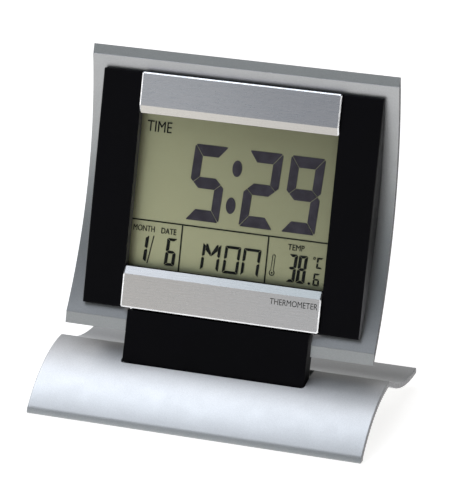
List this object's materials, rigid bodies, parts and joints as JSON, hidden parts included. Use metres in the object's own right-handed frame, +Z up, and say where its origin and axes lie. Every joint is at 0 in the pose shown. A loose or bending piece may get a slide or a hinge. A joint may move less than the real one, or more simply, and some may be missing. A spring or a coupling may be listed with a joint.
{
  "type": "folding lcd desk clock",
  "caption": "Folding travel clock with a liquid-crystal display in a curved silver plate, on a hinged black neck and an S-curved silver foot.",
  "frame": {"origin": "on the table, under the middle of the whole clock's box", "axes": "+X to the right as seen from the front, +Y towards the back, +Z up"},
  "size_m": [0.1142, 0.0634, 0.1111],
  "materials": {
    "silver_paint": "satin silver",
    "black_plastic": "fine matte black",
    "brushed_bar": "brushed along its length",
    "clear_window": "clear acrylic",
    "display_glass": "olive reflective liquid crystal",
    "carrier_plastic": "moulded",
    "contact_rubber": "layered elastomer",
    "circuit_board": "solder mask",
    "epoxy": "potted",
    "steel": "plated",
    "brass": "bare",
    "bright_steel": "nickel plated",
    "button_plastic": "moulded",
    "foot_rubber": "matte"
  },
  "bodies": {
    "base": {"base_shell": "silver_paint", "hinge_bracket": "black_plastic", "hinge_pin": "steel", "friction_washer_left": "steel", "friction_washer_right": "steel", "front_foot_left": "foot_rubber", "front_foot_right": "foot_rubber", "rear_foot_left": "foot_rubber", "rear_foot_right": "foot_rubber", "bracket_screw_1": "steel", "bracket_screw_2": "steel", "bracket_screw_3": "steel", "bracket_screw_4": "steel"},
    "head": {"neck": "black_plastic", "head_plate": "silver_paint", "front_housing": "black_plastic", "top_trim": "brushed_bar", "bottom_trim": "brushed_bar", "display_window": "clear_window", "lcd_panel": "display_glass", "lcd_carrier": "carrier_plastic", "contact_strip_lower": "contact_rubber", "contact_strip_upper": "contact_rubber", "circuit_board": "circuit_board", "clock_chip": "epoxy", "quartz_crystal": "bright_steel", "thermistor": "epoxy", "alarm_switch_body": "bright_steel", "alarm_buzzer": "brass", "cell_inner": "bright_steel", "cell_outer": "bright_steel", "negative_contact": "brass", "positive_contact": "brass", "rear_cover": "black_plastic", "board_screw_1": "steel", "board_screw_2": "steel", "board_screw_3": "steel", "board_screw_4": "steel", "cover_screw_1": "steel", "cover_screw_2": "steel", "cover_screw_3": "steel", "cover_screw_4": "steel", "cover_screw_5": "steel", "cover_screw_6": "steel", "key_switch_1": "bright_steel", "key_switch_2": "bright_steel", "key_switch_3": "bright_steel", "key_switch_4": "bright_steel"},
    "battery_door": {"battery_door": "black_plastic"},
    "alarm_knob": {"alarm_knob": "button_plastic"},
    "mode_button": {"mode_button": "button_plastic"},
    "set_button": {"set_button": "button_plastic"},
    "up_button": {"up_button": "button_plastic"},
    "down_button": {"down_button": "button_plastic"}
  },
  "joints": [
    {"name": "head_fold", "type": "hinge", "parent": "base", "child": "head", "pos_m": [0, -0.00935, 0.0104], "axis": [-1, 0, 0], "range_deg": [-8, 42]},
    {"name": "battery_door_slide", "type": "slide", "parent": "head", "child": "battery_door", "axis": [1, 0, 0], "range_m": [0, 0.012]},
    {"name": "alarm_knob_slide", "type": "slide", "parent": "head", "child": "alarm_knob", "axis": [1, 0, 0], "range_m": [0, 0.0026]},
    {"name": "mode_press", "type": "slide", "parent": "head", "child": "mode_button", "axis": [0, -0.9548, 0.2974], "range_m": [0, 0.0005], "stiffness_N_per_m": 600},
    {"name": "set_press", "type": "slide", "parent": "head", "child": "set_button", "axis": [0, -0.9548, 0.2974], "range_m": [0, 0.0005], "stiffness_N_per_m": 600},
    {"name": "up_press", "type": "slide", "parent": "head", "child": "up_button", "axis": [0, -0.9548, 0.2974], "range_m": [0, 0.0005], "stiffness_N_per_m": 600},
    {"name": "down_press", "type": "slide", "parent": "head", "child": "down_button", "axis": [0, -0.9548, 0.2974], "range_m": [0, 0.0005], "stiffness_N_per_m": 600}
  ]
}
